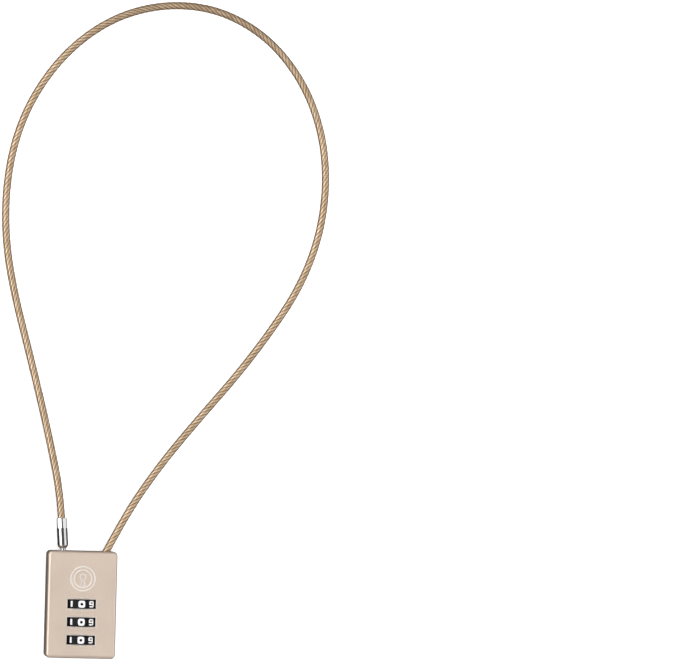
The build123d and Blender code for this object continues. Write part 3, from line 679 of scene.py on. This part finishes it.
def emblem_mesh():
    """Two fine rings round the outline of a plain keyhole."""
    builder = bmesh.new()
    last_angle = 2 * math.pi * (CIRCLE_POINTS - 1) / CIRCLE_POINTS
    for radius in (EMBLEM_RADIUS, INNER_LINE_RADIUS):
        circle = arc(EMBLEM, radius, 0, last_angle, CIRCLE_POINTS)
        add_band(builder, circle, band(circle, EMBLEM_LINE))
    head = EMBLEM + Vector((0, KEYHOLE_TOP))
    top_half, foot_half, drop = KEYHOLE_SLOT
    opening = math.asin(top_half / KEYHOLE_RADIUS)
    start, end = -math.pi / 2 + opening, 3 * math.pi / 2 - opening
    keyhole = arc(head, KEYHOLE_RADIUS, start, end, KEYHOLE_POINTS)
    foot = head - Vector((0, drop))
    keyhole += [foot - Vector((foot_half, 0)), foot + Vector((foot_half, 0))]
    add_band(builder, keyhole, band(keyhole, KEYHOLE_LINE))
    return finished_mesh(builder, "keyhole_emblem", ETCH)


def tick_mesh():
    """A short tapered tick above and below each dial window, on the line where the code is read."""
    builder = bmesh.new()
    wide, narrow = TICK_WIDTHS
    for number in (1, 2, 3):
        low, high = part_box(f"dial_{number}")
        for edge, outward in ((high[1], 1), (low[1], -1)):
            base = edge + outward * WINDOW_MARGIN
            tip = base + outward * TICK_LENGTH
            corners = [(-wide / 2, base), (wide / 2, base), (narrow / 2, tip), (-narrow / 2, tip)]
            add_plate(builder, [Vector(corner) for corner in corners])
    return finished_mesh(builder, "index_ticks", ETCH)


add_piece("keyhole_emblem", emblem_mesh(), "housing")
add_piece("index_ticks", tick_mesh(), "housing")

# ---------------------------------------------------------------- floor, sky and lights
FLOOR_HALF = 6.0
FLOOR_DROP = 0.00005
FLOOR_GLOW = 0.5
# brightness of the studio by height: (sine of the elevation, grey)
SKY = [(-0.12, 0.04), (0.0, 0.06), (0.2, 0.10), (0.5, 0.22), (0.8, 0.20), (0.97, 0.08)]
LIGHT_TARGET = Vector((0.02, 0.08, 0))
LIGHT_DISTANCE = 1.3


def add_floor():
    """A plain white table that glows a little.

    Reflections see the dim studio instead, which outlines the metal.
    """
    material, nodes, links, shader = new_material("pale_floor")
    shader.inputs["Base Color"].default_value = (0.94, 0.94, 0.94, 1)
    shader.inputs["Roughness"].default_value = 0.9
    shader.inputs["Specular IOR Level"].default_value = 0.0
    shader.inputs["Emission Color"].default_value = (1, 1, 1, 1)
    shader.inputs["Emission Strength"].default_value = FLOOR_GLOW
    mesh = bpy.data.meshes.new("floor")
    square = ((-1, -1), (1, -1), (1, 1), (-1, 1))
    corners = [(x * FLOOR_HALF, y * FLOOR_HALF, -FLOOR_DROP) for x, y in square]
    mesh.from_pydata(corners, [], [(0, 1, 2, 3)])
    mesh.materials.append(material)
    floor = bpy.data.objects.new("floor", mesh)
    bpy.context.scene.collection.objects.link(floor)
    floor.visible_glossy = False
    floor.visible_diffuse = False


def add_sky():
    """A dim room, dark at the horizon and straight overhead."""
    world = bpy.data.worlds.new("studio")
    world.use_nodes = True
    nodes, links = world.node_tree.nodes, world.node_tree.links
    place = nodes.new("ShaderNodeTexCoord")
    split = nodes.new("ShaderNodeSeparateXYZ")
    links.new(place.outputs["Generated"], split.inputs["Vector"])
    height = value_range(nodes, links, split.outputs["Z"], low=0, high=1)
    height.node.inputs["From Min"].default_value = -1
    stops = [((z + 1) / 2, (grey, grey, grey)) for z, grey in SKY]
    links.new(ramp(nodes, links, height, stops), nodes["Background"].inputs["Color"])
    bpy.context.scene.world = world


def add_softbox(name, from_zenith, heading, size, radiance, glossy=True):
    """A light at an angle from straight up, on a heading from +X, seen either by gloss or by matt surfaces.

    Its size is its width, then its height.
    """
    tilt, turn = math.radians(from_zenith), math.radians(heading)
    outward = Vector((math.sin(tilt) * math.cos(turn), math.sin(tilt) * math.sin(turn), math.cos(tilt)))
    data = bpy.data.lights.new(name, "AREA")
    data.shape = "RECTANGLE"
    data.size, data.size_y = size
    data.energy = radiance * math.pi * size[0] * size[1]
    light = bpy.data.objects.new(name, data)
    light.location = LIGHT_TARGET + outward * LIGHT_DISTANCE
    light.rotation_euler = outward.to_track_quat("Z", "Y").to_euler()
    light.visible_glossy = glossy
    light.visible_diffuse = not glossy
    bpy.context.scene.collection.objects.link(light)


add_floor()
add_sky()
add_softbox("left_softbox", from_zenith=46, heading=163, size=(2.0, 1.05), radiance=1.9)
add_softbox("right_softbox", from_zenith=58, heading=0, size=(2.0, 1.2), radiance=0.8)
add_softbox("overhead", from_zenith=0, heading=0, size=(0.7, 0.7), radiance=10.5, glossy=False)
add_softbox("left_fill", from_zenith=76, heading=175, size=(1.0, 1.0), radiance=1.3, glossy=False)
add_softbox("front_fill", from_zenith=82, heading=-90, size=(1.0, 0.8), radiance=1.2, glossy=False)
bpy.context.scene.view_settings.view_transform = "Standard"
